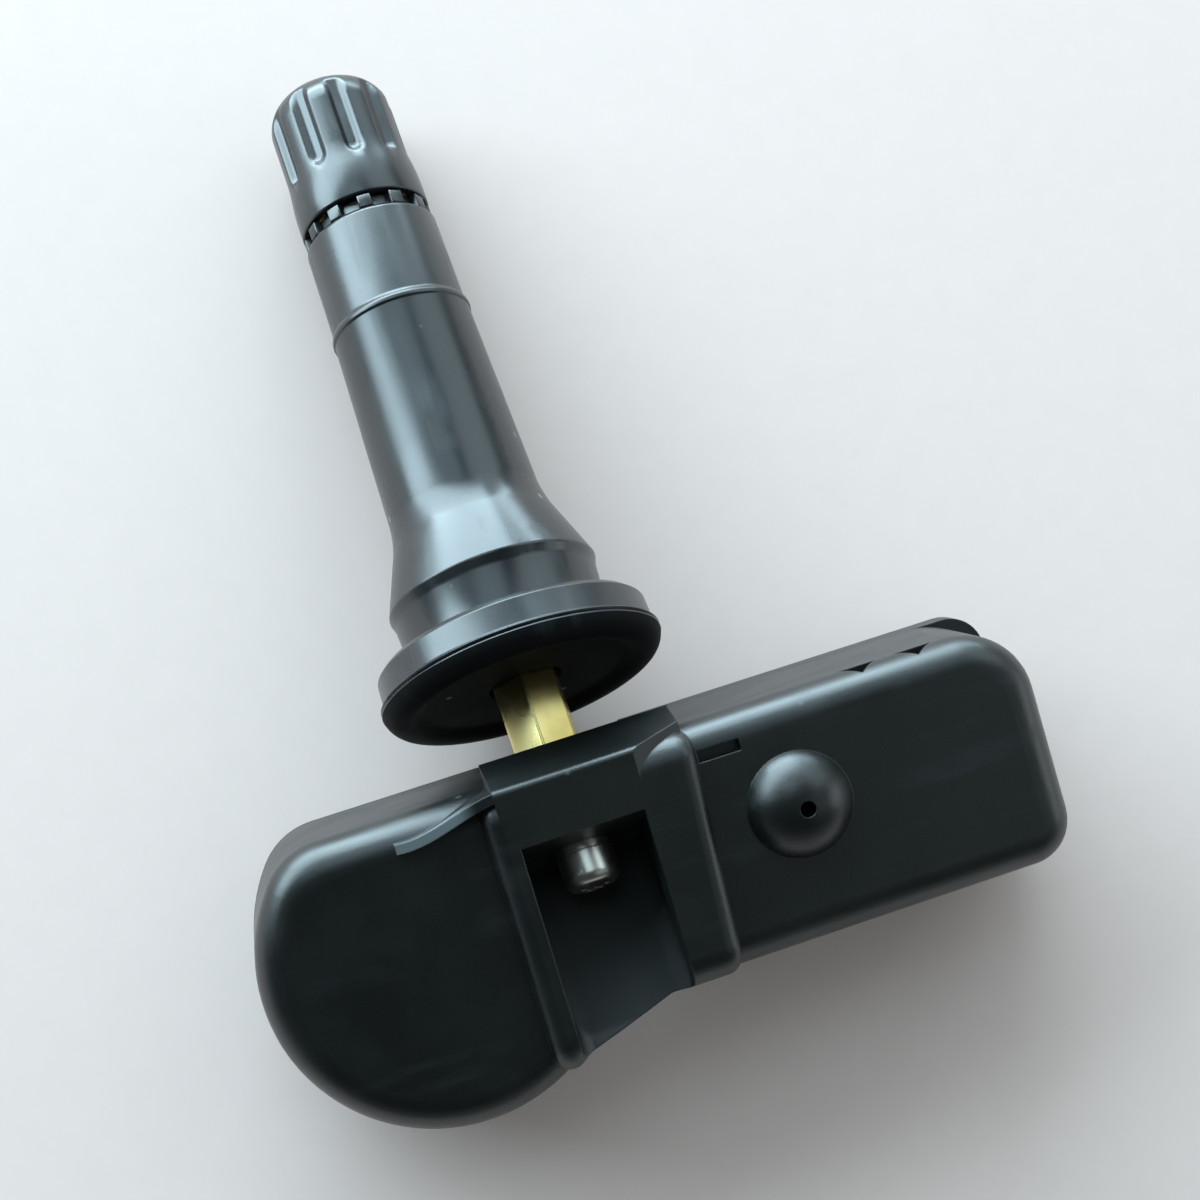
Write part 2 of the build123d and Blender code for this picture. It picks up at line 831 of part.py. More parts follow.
with BuildPart() as coil_wire:
    with BuildSketch(body_plane.offset((coil_flange - coil_winding) / 2 - board_front)):
        with Locations((coil_x, coil_y)):
            Rectangle(coil_length - 2 * coil_flange_length, coil_winding)
    extrude(amount=coil_winding)
    with BuildSketch(body_plane.offset((coil_flange - coil_core) / 2 - board_front)):
        with Locations((coil_x, coil_y)):
            Rectangle(coil_length, coil_core)
    extrude(amount=coil_core, mode=Mode.SUBTRACT)

with BuildPart() as radio_antenna:
    with BuildSketch(body_plane.offset(-board_front)):
        with Locations((antenna_x, antenna_y)):
            with GridLocations(antenna_wire, antenna_span - antenna_wire, 1, 2):
                Rectangle(antenna_wire, antenna_wire)
    extrude(amount=antenna_height)
    with BuildSketch(body_plane.offset(antenna_height - antenna_wire - board_front)):
        with Locations((antenna_x, antenna_y)):
            Rectangle(antenna_wire, antenna_span)
    extrude(amount=antenna_wire)

pieces = {
    "housing": housing,
    "back_cover": back_cover,
    "valve_rubber": valve_rubber,
    "valve_stem": valve_stem,
    "valve_cap": valve_cap,
    "cap_seal": cap_seal,
    "core_body": core_body,
    "core_gasket": core_gasket,
    "core_pin": core_pin,
    "plunger_seal": plunger_seal,
    "core_spring": core_spring,
    "mounting_screw": mounting_screw,
    "screw_washer": screw_washer,
    "circuit_board": circuit_board,
    "battery_cell": battery_cell,
    "battery_tab_minus": battery_tab_minus,
    "battery_tab_plus": battery_tab_plus,
    "pressure_sensor": pressure_sensor,
    "port_seal": port_seal,
    "timing_crystal": timing_crystal,
    "controller_chip": controller_chip,
    "chip_capacitors": chip_capacitors,
    "coil_ferrite": coil_ferrite,
    "coil_wire": coil_wire,
    "radio_antenna": radio_antenna,
}
os.makedirs("parts", exist_ok=True)
for name, piece in pieces.items():
    piece.part.label = name
    export_step(piece.part, f"parts/{name}.step")
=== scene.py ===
import math
import bmesh
import bpy
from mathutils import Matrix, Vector


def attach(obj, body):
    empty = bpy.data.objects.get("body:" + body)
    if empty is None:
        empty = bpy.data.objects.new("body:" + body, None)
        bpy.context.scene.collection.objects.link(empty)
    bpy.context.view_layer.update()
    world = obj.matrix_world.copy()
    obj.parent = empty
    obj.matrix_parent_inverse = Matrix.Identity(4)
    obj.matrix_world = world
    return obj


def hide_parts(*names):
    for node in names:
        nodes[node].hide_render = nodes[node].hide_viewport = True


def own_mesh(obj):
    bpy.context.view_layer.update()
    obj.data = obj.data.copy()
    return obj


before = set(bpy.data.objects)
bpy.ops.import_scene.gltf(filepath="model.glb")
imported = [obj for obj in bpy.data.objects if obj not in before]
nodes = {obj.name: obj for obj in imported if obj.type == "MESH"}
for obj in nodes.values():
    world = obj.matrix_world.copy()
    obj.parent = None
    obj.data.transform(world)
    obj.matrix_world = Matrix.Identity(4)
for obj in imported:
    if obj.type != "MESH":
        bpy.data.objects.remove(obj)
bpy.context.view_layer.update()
bpy.ops.object.select_all(action="DESELECT")
print("frame loaded,", len(nodes), "nodes")

mm = 0.001
# how the part lies: the valve's dip towards its cap and the face's angle to the valve, in degrees,
# and the foot of the valve's axis, in mm
lie = {"dip": 8.115035, "faceAngle": 24.2, "valveFoot": (-4.825, -16.468969, 12.01988)}
valveTurn = -90 - lie["dip"]  # lays upright work down along the valve, about x
faceTurn = lie["dip"] - lie["faceAngle"]  # brings a pattern's z out of the housing's face
# how near counts as the same place, in mm
near = {"corner": 0.003, "seam": 0.0015, "screw": 0.001, "line": 0.0005}


# edit helpers

def workOn(piece):
    if bpy.context.mode != "OBJECT":
        bpy.ops.object.mode_set(mode="OBJECT")
    bpy.ops.object.select_all(action="DESELECT")
    piece.select_set(True)
    bpy.context.view_layer.objects.active = piece


def startPiece(name, addPrimitive, stretch=(1, 1, 1), **settings):
    # a primitive with its place put into its mesh
    bpy.ops.object.select_all(action="DESELECT")
    addPrimitive(**settings)
    piece = bpy.context.active_object
    piece.name = name
    piece.scale = stretch
    bpy.ops.object.transform_apply(location=True, rotation=True, scale=True)
    return piece


def openEdit(piece):
    workOn(piece)
    bpy.ops.object.mode_set(mode="EDIT")
    bpy.ops.mesh.select_mode(type="VERT")


def closeEdit():
    bpy.ops.object.mode_set(mode="OBJECT")


def pickPoints(piece, wanted):
    bpy.ops.mesh.select_mode(type="VERT")
    bpy.ops.mesh.select_all(action="DESELECT")
    cage = bmesh.from_edit_mesh(piece.data)
    for corner in cage.verts:
        if wanted(corner.co):
            corner.select_set(True)
    cage.select_flush_mode()
    bmesh.update_edit_mesh(piece.data)


def pickEdges(piece, wanted):
    bpy.ops.mesh.select_mode(type="EDGE")
    bpy.ops.mesh.select_all(action="DESELECT")
    cage = bmesh.from_edit_mesh(piece.data)
    for edge in cage.edges:
        if wanted(edge.verts[0].co, edge.verts[1].co):
            edge.select_set(True)
    cage.select_flush_mode()
    bmesh.update_edit_mesh(piece.data)


def isUpright(first, second):
    # an edge that climbs more than a millimetre
    return abs(first.z - second.z) > mm


def sewAndFace():
    # double points merged, faces pointing outwards
    bpy.ops.mesh.select_mode(type="VERT")
    bpy.ops.mesh.select_all(action="SELECT")
    bpy.ops.mesh.remove_doubles(threshold=near["seam"] * mm)
    bpy.ops.mesh.normals_make_consistent(inside=False)


def drawLine(name, line):
    # one vertex pulled out along the profile, radius and height in mm; edit mode stays open
    piece = startPiece(name, bpy.ops.mesh.primitive_plane_add, size=mm)
    openEdit(piece)
    bpy.ops.mesh.merge(type="CENTER")
    bpy.ops.transform.translate(value=(line[0][0] * mm, 0, line[0][1] * mm))
    for before, after in zip(line, line[1:]):
        step = ((after[0] - before[0]) * mm, 0, (after[1] - before[1]) * mm)
        bpy.ops.mesh.extrude_vertices_move(TRANSFORM_OT_translate={"value": step})
    bpy.ops.mesh.select_all(action="SELECT")
    bpy.ops.mesh.remove_doubles(threshold=near["line"] * mm)
    return piece


def easeCorners(piece, line):
    # a longer profile point also says how far its rounding reaches along both sides, and in how many steps
    for point in line:
        if len(point) > 2:
            across, height, reach, steps = point
            spot = Vector((across * mm, 0, height * mm))
            pickPoints(piece, lambda at: (at - spot).length < near["corner"] * mm)
            bpy.ops.mesh.bevel(offset=reach * mm, segments=steps, affect="VERTICES")


def spinProfile(piece, steps):
    bpy.ops.mesh.select_mode(type="VERT")
    bpy.ops.mesh.select_all(action="SELECT")
    bpy.ops.mesh.spin(steps=steps, angle=math.tau, center=(0, 0, 0), axis=(0, 0, 1))
    sewAndFace()
    closeEdit()


def carryUp(piece, rise, turns, steps):
    # an outline carried round the upright axis, rising by so many mm in each turn
    screw = piece.modifiers.new("carryUp", "SCREW")
    screw.axis = "Z"
    screw.angle = math.tau
    screw.screw_offset = rise * mm
    screw.iterations = turns
    screw.steps = steps
    screw.render_steps = steps
    screw.use_merge_vertices = True
    screw.merge_threshold = near["screw"] * mm
    workOn(piece)
    bpy.ops.object.modifier_apply(modifier="carryUp")


def turnedCopy(piece, turn):
    workOn(piece)
    bpy.ops.object.duplicate(linked=False)
    copy = bpy.context.active_object
    openEdit(copy)
    bpy.ops.mesh.select_all(action="SELECT")
    bpy.ops.transform.rotate(value=-turn, orient_axis="Z", center_override=(0, 0, 0))
    closeEdit()
    return copy


def layAlongValve(piece):
    workOn(piece)
    piece.rotation_euler = (math.radians(valveTurn), 0, 0)
    piece.location = [number * mm for number in lie["valveFoot"]]
    bpy.ops.object.transform_apply(location=True, rotation=True, scale=True)


def smoothShade(piece, angle):
    workOn(piece)
    bpy.ops.object.shade_smooth_by_angle(angle=math.radians(angle))


def joinInto(piece, others):
    workOn(piece)
    for other in others:
        other.select_set(True)
    bpy.ops.object.join()


def finishPiece(piece, material, body, node):
    piece.data.materials.clear()
    piece.data.materials.append(material)
    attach(piece, body)
    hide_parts(node)


# node helpers

def feed(tree, socket, value):
    # an output is linked, a plain value is set
    if isinstance(value, bpy.types.NodeSocket):
        tree.links.new(value, socket)
    elif socket.type == "RGBA":
        socket.default_value = (*value, 1.0)
    else:
        socket.default_value = value


def addNode(tree, kind, **settings):
    node = tree.nodes.new(kind)
    for name, value in settings.items():
        setattr(node, name, value)
    return node


def addMath(tree, operation, first, second=None, clamp=False):
    node = addNode(tree, "ShaderNodeMath", operation=operation, use_clamp=clamp)
    feed(tree, node.inputs[0], first)
    if second is not None:
        feed(tree, node.inputs[1], second)
    return node.outputs[0]


def addRange(tree, value, low, high, toLow=0.0, toHigh=1.0):
    node = addNode(tree, "ShaderNodeMapRange", interpolation_type="SMOOTHSTEP")
    feed(tree, node.inputs["Value"], value)
    feed(tree, node.inputs["From Min"], low)
    feed(tree, node.inputs["From Max"], high)
    feed(tree, node.inputs["To Min"], toLow)
    feed(tree, node.inputs["To Max"], toHigh)
    return node.outputs["Result"]


def addNoise(tree, vector, scale, detail=3.0, rough=0.55):
    node = addNode(tree, "ShaderNodeTexNoise")
    feed(tree, node.inputs["Vector"], vector)
    feed(tree, node.inputs["Scale"], scale)
    feed(tree, node.inputs["Detail"], detail)
    feed(tree, node.inputs["Roughness"], rough)
    return node.outputs["Fac"]


def mixColours(tree, factor, first, second):
    node = addNode(tree, "ShaderNodeMix", data_type="RGBA")
    feed(tree, node.inputs["Factor"], factor)
    for label, value in (("A", first), ("B", second)):
        colours = [each for each in node.inputs if each.name == label and each.type == "RGBA"]
        feed(tree, colours[0], value)
    return [each for each in node.outputs if each.type == "RGBA"][0]


def tint(tree, colour, mask, tone, other):
    # some of the other colour where the mask is
    return mixColours(tree, addMath(tree, "MULTIPLY", mask, tone), colour, other)


def addShare(tree, value, mask, share):
    # a value raised where the mask is, up to one
    return addMath(tree, "ADD", value, addMath(tree, "MULTIPLY", mask, share), clamp=True)


def newGroup(name, inputs, outputs):
    group = bpy.data.node_groups.new(name, "ShaderNodeTree")
    for way, sockets in (("INPUT", inputs), ("OUTPUT", outputs)):
        for label, kind in sockets.items():
            group.interface.new_socket(name=label, in_out=way, socket_type="NodeSocket" + kind)
    return group, group.nodes.new("NodeGroupInput").outputs, group.nodes.new("NodeGroupOutput").inputs


# fine moulded grain with a slow drift under it

grainMake = {
    "detail": 2.0, "coarseShare": 0.65, "finerShare": 0.35, "finerScale": 2.7,
    "driftScale": 0.04, "driftDetail": 4.0, "driftSpan": (0.35, 0.65),
}


def grainEffect(make):
    group, given, out = newGroup(
        "mouldedGrain", {"Vector": "Vector", "Scale": "Float"}, {"Height": "Float", "Drift": "Float"}
    )
    vector = given["Vector"]
    finerScale = addMath(group, "MULTIPLY", given["Scale"], make["finerScale"])
    driftScale = addMath(group, "MULTIPLY", given["Scale"], make["driftScale"])
    coarse = addNoise(group, vector, given["Scale"], make["detail"])
    finer = addNoise(group, vector, finerScale, make["detail"])
    drift = addNoise(group, vector, driftScale, make["driftDetail"])
    coarsePart = addMath(group, "MULTIPLY", coarse, make["coarseShare"])
    finerPart = addMath(group, "MULTIPLY", finer, make["finerShare"])
    feed(group, out["Height"], addMath(group, "ADD", coarsePart, finerPart))
    feed(group, out["Drift"], addRange(group, drift, *make["driftSpan"]))
    return group


# rubbed edges: the rounded normal leaves the face normal only near an edge

edgeMake = {"samples": 4, "bareSpan": (0.02, 0.16), "patchScale": 900.0, "patchSpan": (0.35, 0.7)}


def edgeEffect(make):
    group, given, out = newGroup(
        "rubbedEdge", {"Vector": "Vector", "Radius": "Float"}, {"Mask": "Float", "Normal": "Vector"}
    )
    rounded = addNode(group, "ShaderNodeBevel", samples=make["samples"])
    feed(group, rounded.inputs["Radius"], given["Radius"])
    face = addNode(group, "ShaderNodeNewGeometry")
    agree = addNode(group, "ShaderNodeVectorMath", operation="DOT_PRODUCT")
    feed(group, agree.inputs[0], rounded.outputs["Normal"])
    feed(group, agree.inputs[1], face.outputs["Normal"])
    bare = addRange(group, addMath(group, "SUBTRACT", 1.0, agree.outputs["Value"]), *make["bareSpan"])
    patchy = addRange(group, addNoise(group, given["Vector"], make["patchScale"]), *make["patchSpan"])
    feed(group, out["Mask"], addMath(group, "MULTIPLY", bare, patchy))
    feed(group, out["Normal"], rounded.outputs["Normal"])
    return group


# pale specks of dust, one to a cell, in a share of the cells

speckMake = {"dotSpan": (0.05, 0.14)}


def speckEffect(make):
    group, given, out = newGroup(
        "dustSpecks", {"Vector": "Vector", "Scale": "Float", "Share": "Float"}, {"Mask": "Float"}
    )
    cells = addNode(group, "ShaderNodeTexVoronoi", feature="F1")
    feed(group, cells.inputs["Vector"], given["Vector"])
    feed(group, cells.inputs["Scale"], given["Scale"])
    dot = addRange(group, cells.outputs["Distance"], *make["dotSpan"], toLow=1.0, toHigh=0.0)
    cellTone = addNode(group, "ShaderNodeSeparateColor")
    feed(group, cellTone.inputs["Color"], cells.outputs["Color"])
    chosen = addMath(group, "LESS_THAN", cellTone.outputs["Red"], given["Share"])
    feed(group, out["Mask"], addMath(group, "MULTIPLY", dot, chosen))
    return group


# long faint scuffs along one direction of the piece, in patches

scuffMake = {
    "detail": 4.0, "rough": 0.6, "streakSpan": (0.52, 0.68),
    "patchScale": 0.4, "patchDetail": 2.0, "patchSpan": (0.42, 0.62),
}


def scuffEffect(make):
    group, given, out = newGroup(
        "handlingScuffs", {"Vector": "Vector", "Scale": "Float", "Stretch": "Vector"}, {"Mask": "Float"}
    )
    drawn = addNode(group, "ShaderNodeVectorMath", operation="MULTIPLY")
    feed(group, drawn.inputs[0], given["Vector"])
    feed(group, drawn.inputs[1], given["Stretch"])
    streak = addNoise(group, drawn.outputs["Vector"], given["Scale"], make["detail"], make["rough"])
    patchScale = addMath(group, "MULTIPLY", given["Scale"], make["patchScale"])
    patch = addNoise(group, given["Vector"], patchScale, make["patchDetail"])
    streakMask = addRange(group, streak, *make["streakSpan"])
    patchMask = addRange(group, patch, *make["patchSpan"])
    feed(group, out["Mask"], addMath(group, "MULTIPLY", streakMask, patchMask))
    return group


grainGroup = grainEffect(grainMake)
edgeGroup = edgeEffect(edgeMake)
speckGroup = speckEffect(speckMake)
scuffGroup = scuffEffect(scuffMake)
print("shared node groups made")


# materials

def startMaterial(name, turn=0.0, **sockets):
    # object coordinates, turned so that z runs along the valve or out of the housing's face
    material = bpy.data.materials.new(name)
    material.use_nodes = True
    tree = material.node_tree
    shader = tree.nodes["Principled BSDF"]
    for label, value in sockets.items():
        feed(tree, shader.inputs[label.replace("_", " ")], value)
    spot = addNode(tree, "ShaderNodeTexCoord")
    turned = addNode(tree, "ShaderNodeMapping")
    feed(tree, turned.inputs["Rotation"], (math.radians(turn), 0, 0))
    feed(tree, turned.inputs["Vector"], spot.outputs["Object"])
    return material, tree, shader, turned.outputs["Vector"]


def useGroup(tree, group, vector, **values):
    node = addNode(tree, "ShaderNodeGroup", node_tree=group)
    feed(tree, node.inputs["Vector"], vector)
    for label, value in values.items():
        feed(tree, node.inputs[label], value)
    return node.outputs


def wearEdges(tree, vector, colour, look):
    # a look that gives no edge radius keeps its colour and its faces' own normal
    if "edgeRadius" not in look:
        return colour, None
    edge = useGroup(tree, edgeGroup, vector, Radius=look["edgeRadius"] * mm)
    return tint(tree, colour, edge["Mask"], look["edgeTone"], look["edgeColour"]), edge["Normal"]


def boxMask(tree, vector, box):
    # one inside a box given by its middle and half sizes in mm, fading out over its eases
    axes = addNode(tree, "ShaderNodeSeparateXYZ")
    feed(tree, axes.inputs["Vector"], vector)
    mask = 1.0
    for axis, middle, half, ease in zip("XYZ", box["middle"], box["half"], box["ease"]):
        away = addMath(tree, "ABSOLUTE", addMath(tree, "SUBTRACT", axes.outputs[axis], middle * mm))
        side = addRange(tree, away, (half - ease) * mm, half * mm, toLow=1.0, toHigh=0.0)
        mask = addMath(tree, "MULTIPLY", side, mask)
    return mask


def setSurface(tree, shader, colour, rough, height, strength, depth, normal):
    # depth of the bump in mm, over the eased edges' normal where there is one
    bump = addNode(tree, "ShaderNodeBump")
    feed(tree, bump.inputs["Strength"], strength)
    feed(tree, bump.inputs["Distance"], depth * mm)
    feed(tree, bump.inputs["Height"], height)
    if normal is not None:
        feed(tree, bump.inputs["Normal"], normal)
    feed(tree, shader.inputs["Base Color"], colour)
    feed(tree, shader.inputs["Roughness"], rough)
    feed(tree, shader.inputs["Normal"], bump.outputs["Normal"])


def mouldedBlack(name, turn, look):
    # black mouldings: dark drifted colour, grain, rubbed edges, specks, scuffs, a boxed painted highlight
    material, tree, shader, vector = startMaterial(
        name, turn, IOR=look["ior"], Specular_IOR_Level=look["shine"]
    )
    grain = useGroup(tree, grainGroup, vector, Scale=look["grainScale"])
    speck = useGroup(tree, speckGroup, vector, Scale=look["speckScale"], Share=look["speckShare"])
    scuff = useGroup(tree, scuffGroup, vector, Scale=look["scuffScale"], Stretch=look["scuffStretch"])
    colour = mixColours(tree, grain["Drift"], look["dark"], look["light"])
    colour, normal = wearEdges(tree, vector, colour, look)
    colour = tint(tree, colour, scuff["Mask"], look["scuffTone"], look["scuffColour"])
    rough = addShare(tree, look["rough"], grain["Drift"], look["roughDrift"])
    rough = addShare(tree, rough, scuff["Mask"], look["scuffRough"])
    rough = addShare(tree, rough, speck["Mask"], look["speckRough"])
    # where the look gives a box, a paler colour there is a painted highlight for light caught on a ridge
    if "ridgeHighlightBox" in look:
        paintedHighlight = boxMask(tree, vector, look["ridgeHighlightBox"])
        colour = tint(tree, colour, paintedHighlight, look["ridgeHighlightTone"], look["ridgeHighlightColour"])
    if "dullBox" in look:
        rough = addShare(tree, rough, boxMask(tree, vector, look["dullBox"]), look["dullRough"])
    colour = tint(tree, colour, speck["Mask"], look["speckTone"], look["speckColour"])
    setSurface(
        tree, shader, colour, rough, grain["Height"], look["grainStrength"], look["grainDepth"], normal
    )
    return material


def bareMetal(name, turn, look):
    # metals: tone by tarnish and drawn lines, brighter where edges rub
    material, tree, shader, vector = startMaterial(name, turn, Metallic=1.0)
    line = useGroup(tree, scuffGroup, vector, Scale=look["lineScale"], Stretch=look["lineStretch"])
    grain = useGroup(tree, grainGroup, vector, Scale=look["grainScale"])
    colour = mixColours(tree, grain["Drift"], look["dark"], look["light"])
    colour = tint(tree, colour, line["Mask"], look["lineTone"], look["dark"])
    colour, normal = wearEdges(tree, vector, colour, look)
    rough = addShare(tree, look["rough"], line["Mask"], look["lineRough"])
    rough = addShare(tree, rough, grain["Drift"], look["roughDrift"])
    setSurface(tree, shader, colour, rough, line["Mask"], look["lineStrength"], look["lineDepth"], normal)
    return material


def plainSolid(name, look):
    # small parts inside: toned by drift, with grain and eased edges
    material, tree, shader, vector = startMaterial(name, Metallic=look["metal"])
    grain = useGroup(tree, grainGroup, vector, Scale=look["grainScale"])
    colour = mixColours(tree, grain["Drift"], look["dark"], look["light"])
    colour, normal = wearEdges(tree, vector, colour, look)
    rough = addShare(tree, look["rough"], grain["Drift"], look["roughDrift"])
    setSurface(
        tree, shader, colour, rough, grain["Height"], look["grainStrength"], look["grainDepth"], normal
    )
    return material


# black mouldings; radii, depths and boxes in mm
blackLook = {
    "ior": 1.66, "shine": 0.5, "rough": 0.34, "roughDrift": 0.06,
    "dark": (0.0020, 0.0030, 0.0028), "light": (0.0034, 0.0046, 0.0044),
    "grainScale": 4200.0, "grainStrength": 0.35, "grainDepth": 0.03,
    "edgeRadius": 0.14, "edgeTone": 0.2, "edgeColour": (0.045, 0.055, 0.058),
    "speckScale": 420.0, "speckShare": 0.05, "speckTone": 0.15, "speckRough": 0.0525,
    "speckColour": (0.25, 0.27, 0.28),
    "scuffScale": 300.0, "scuffStretch": (0.15, 1.0, 1.0), "scuffTone": 0.10, "scuffRough": 0.10,
    "scuffColour": (0.045, 0.055, 0.058),
}
# the screw pocket is dull, and the thin ridge beside the hood gets a painted highlight: pale colour for the
# light its top catches
shellLook = dict(
    blackLook,
    dullBox={"middle": (-4.825, -24.7, 17.4), "half": (4.4, 6.2, 4.1), "ease": (0.3, 0.3, 0.3)},
    dullRough=0.45,
    ridgeHighlightBox={"middle": (-15.25, -13.8, 22.35), "half": (4.25, 1.1, 0.65), "ease": (1.7, 0.15, 0.15)},
    ridgeHighlightTone=0.9,
    ridgeHighlightColour=(0.14, 0.165, 0.175),
)
coverLook = dict(
    blackLook, dark=(0.0028, 0.0036, 0.0036), light=(0.0042, 0.0054, 0.0054), rough=0.42, speckShare=0.03
)
rubberLook = {
    "ior": 1.74, "shine": 0.5, "rough": 0.25, "roughDrift": 0.08,
    "dark": (0.0040, 0.0052, 0.0062), "light": (0.0070, 0.0086, 0.0100),
    "grainScale": 2600.0, "grainStrength": 0.10, "grainDepth": 0.02,
    "speckScale": 480.0, "speckShare": 0.14, "speckTone": 0.4, "speckRough": 0.14,
    "speckColour": (0.40, 0.43, 0.45),
    "scuffScale": 420.0, "scuffStretch": (1.0, 1.0, 0.08), "scuffTone": 0.16, "scuffRough": 0.14,
    "scuffColour": (0.050, 0.058, 0.064),
}
sealLook = dict(rubberLook, rough=0.45, grainStrength=0.2)
# the dish under the flange: rougher with little shine, and darker colours as painted shade
underShadeLook = dict(
    rubberLook, dark=(0.0022, 0.0026, 0.0028), light=(0.0040, 0.0046, 0.0050),
    shine=0.06, rough=0.62, speckShare=0.06,
)
capLook = {
    "ior": 1.74, "shine": 0.5, "rough": 0.26, "roughDrift": 0.07,
    "dark": (0.0050, 0.0064, 0.0074), "light": (0.0080, 0.0100, 0.0112),
    "grainScale": 3000.0, "grainStrength": 0.08, "grainDepth": 0.02,
    "speckScale": 500.0, "speckShare": 0.08, "speckTone": 0.6, "speckRough": 0.21,
    "speckColour": (0.35, 0.38, 0.40),
    "scuffScale": 500.0, "scuffStretch": (1.0, 1.0, 0.10), "scuffTone": 0.18, "scuffRough": 0.12,
    "scuffColour": (0.080, 0.095, 0.102),
}

# metals
brassLook = {
    "dark": (0.50, 0.37, 0.12), "light": (0.90, 0.71, 0.31),
    "rough": 0.20, "roughDrift": 0.08, "grainScale": 3000.0,
    "lineScale": 900.0, "lineStretch": (1.0, 1.0, 0.05), "lineTone": 0.20, "lineRough": 0.08,
    "lineStrength": 0.03, "lineDepth": 0.01,
}
coreLook = dict(brassLook, dark=(0.42, 0.30, 0.10), light=(0.74, 0.56, 0.24), rough=0.26)
screwLook = {
    "dark": (0.60, 0.56, 0.50), "light": (0.92, 0.87, 0.80),
    "rough": 0.28, "roughDrift": 0.08, "grainScale": 3500.0,
    "edgeRadius": 0.18, "edgeTone": 0.6, "edgeColour": (0.95, 0.92, 0.87),
    "lineScale": 700.0, "lineStretch": (1.0, 1.0, 0.08), "lineTone": 0.30, "lineRough": 0.14,
    "lineStrength": 0.12, "lineDepth": 0.01,
}
springLook = dict(screwLook, dark=(0.28, 0.28, 0.28), light=(0.52, 0.52, 0.52), rough=0.25)
tabLook = dict(screwLook, dark=(0.45, 0.44, 0.41), light=(0.68, 0.67, 0.63))
cellLook = dict(
    screwLook, dark=(0.48, 0.48, 0.47), light=(0.70, 0.70, 0.69), rough=0.24, lineStretch=(0.08, 1.0, 1.0)
)
canLook = dict(screwLook, dark=(0.50, 0.47, 0.38), light=(0.72, 0.69, 0.58), rough=0.22)
tinLook = dict(screwLook, dark=(0.50, 0.50, 0.48), light=(0.74, 0.74, 0.72), rough=0.32)

# small parts inside
smallLook = {"metal": 0.0, "edgeRadius": 0.08, "edgeTone": 0.3, "roughDrift": 0.12, "grainDepth": 0.01}
boardLook = dict(
    smallLook, dark=(0.006, 0.050, 0.022), light=(0.010, 0.085, 0.036), edgeColour=(0.30, 0.27, 0.14),
    rough=0.34, grainScale=1500.0, grainStrength=0.15,
)
chipLook = dict(
    smallLook, dark=(0.010, 0.010, 0.011), light=(0.020, 0.020, 0.021), edgeColour=(0.05, 0.05, 0.05),
    rough=0.50, grainScale=6000.0, grainStrength=0.30,
)
ceramicLook = dict(
    smallLook, dark=(0.26, 0.16, 0.075), light=(0.38, 0.25, 0.13), edgeColour=(0.52, 0.40, 0.26),
    rough=0.42, grainScale=7000.0, grainStrength=0.20,
)
ferriteLook = dict(
    smallLook, dark=(0.030, 0.030, 0.032), light=(0.055, 0.054, 0.055), edgeColour=(0.10, 0.10, 0.10),
    rough=0.55, grainScale=4500.0, grainStrength=0.35,
)
copperLook = dict(
    smallLook, dark=(0.55, 0.20, 0.085), light=(0.80, 0.36, 0.18), edgeColour=(0.90, 0.52, 0.32),
    metal=1.0, rough=0.28, grainScale=5200.0, grainStrength=0.25,
)
gasketLook = dict(
    smallLook, dark=(0.42, 0.10, 0.06), light=(0.56, 0.15, 0.09), edgeColour=(0.66, 0.28, 0.20),
    rough=0.38, grainScale=5000.0, grainStrength=0.10,
)

valveRubber = mouldedBlack("valveRubber", -valveTurn, rubberLook)
underShadeRubber = mouldedBlack("underShadeRubber", -valveTurn, underShadeLook)
sealRubber = mouldedBlack("sealRubber", -valveTurn, sealLook)
capPlastic = mouldedBlack("capPlastic", -valveTurn, capLook)
paleBrass = bareMetal("paleBrass", -valveTurn, brassLook)
coreBrass = bareMetal("coreBrass", -valveTurn, coreLook)
springSteel = bareMetal("springSteel", -valveTurn, springLook)
screwNickel = bareMetal("screwNickel", -valveTurn, screwLook)
nodeFinish = {
    "housing": mouldedBlack("shellPlastic", faceTurn, shellLook),
    "back_cover": mouldedBlack("coverPlastic", faceTurn, coverLook),
    "cap_seal": sealRubber,
    "plunger_seal": sealRubber,
    "port_seal": sealRubber,
    "core_body": coreBrass,
    "core_pin": coreBrass,
    "core_gasket": plainSolid("gasketPlastic", gasketLook),
    "mounting_screw": screwNickel,
    "screw_washer": screwNickel,
    "circuit_board": plainSolid("boardGreen", boardLook),
    "battery_cell": bareMetal("cellSteel", faceTurn, cellLook),
    "battery_tab_minus": bareMetal("tabNickel", faceTurn, tabLook),
    "battery_tab_plus": bareMetal("tabNickelBack", faceTurn, tabLook),
    "pressure_sensor": plainSolid("sensorBlack", chipLook),
    "controller_chip": plainSolid("chipBlack", chipLook),
    "timing_crystal": bareMetal("crystalCan", faceTurn, canLook),
    "chip_capacitors": plainSolid("capacitorTan", ceramicLook),
    "coil_ferrite": plainSolid("ferriteGrey", ferriteLook),
    "coil_wire": plainSolid("copperWire", copperLook),
    "radio_antenna": bareMetal("antennaTin", faceTurn, tinLook),
}
for node, material in nodeFinish.items():
    nodes[node].material_slots[0].material = material
print("materials made,", len(bpy.data.materials), "in all")


# valve rubber: one turned profile and the teeth under the cap's edge

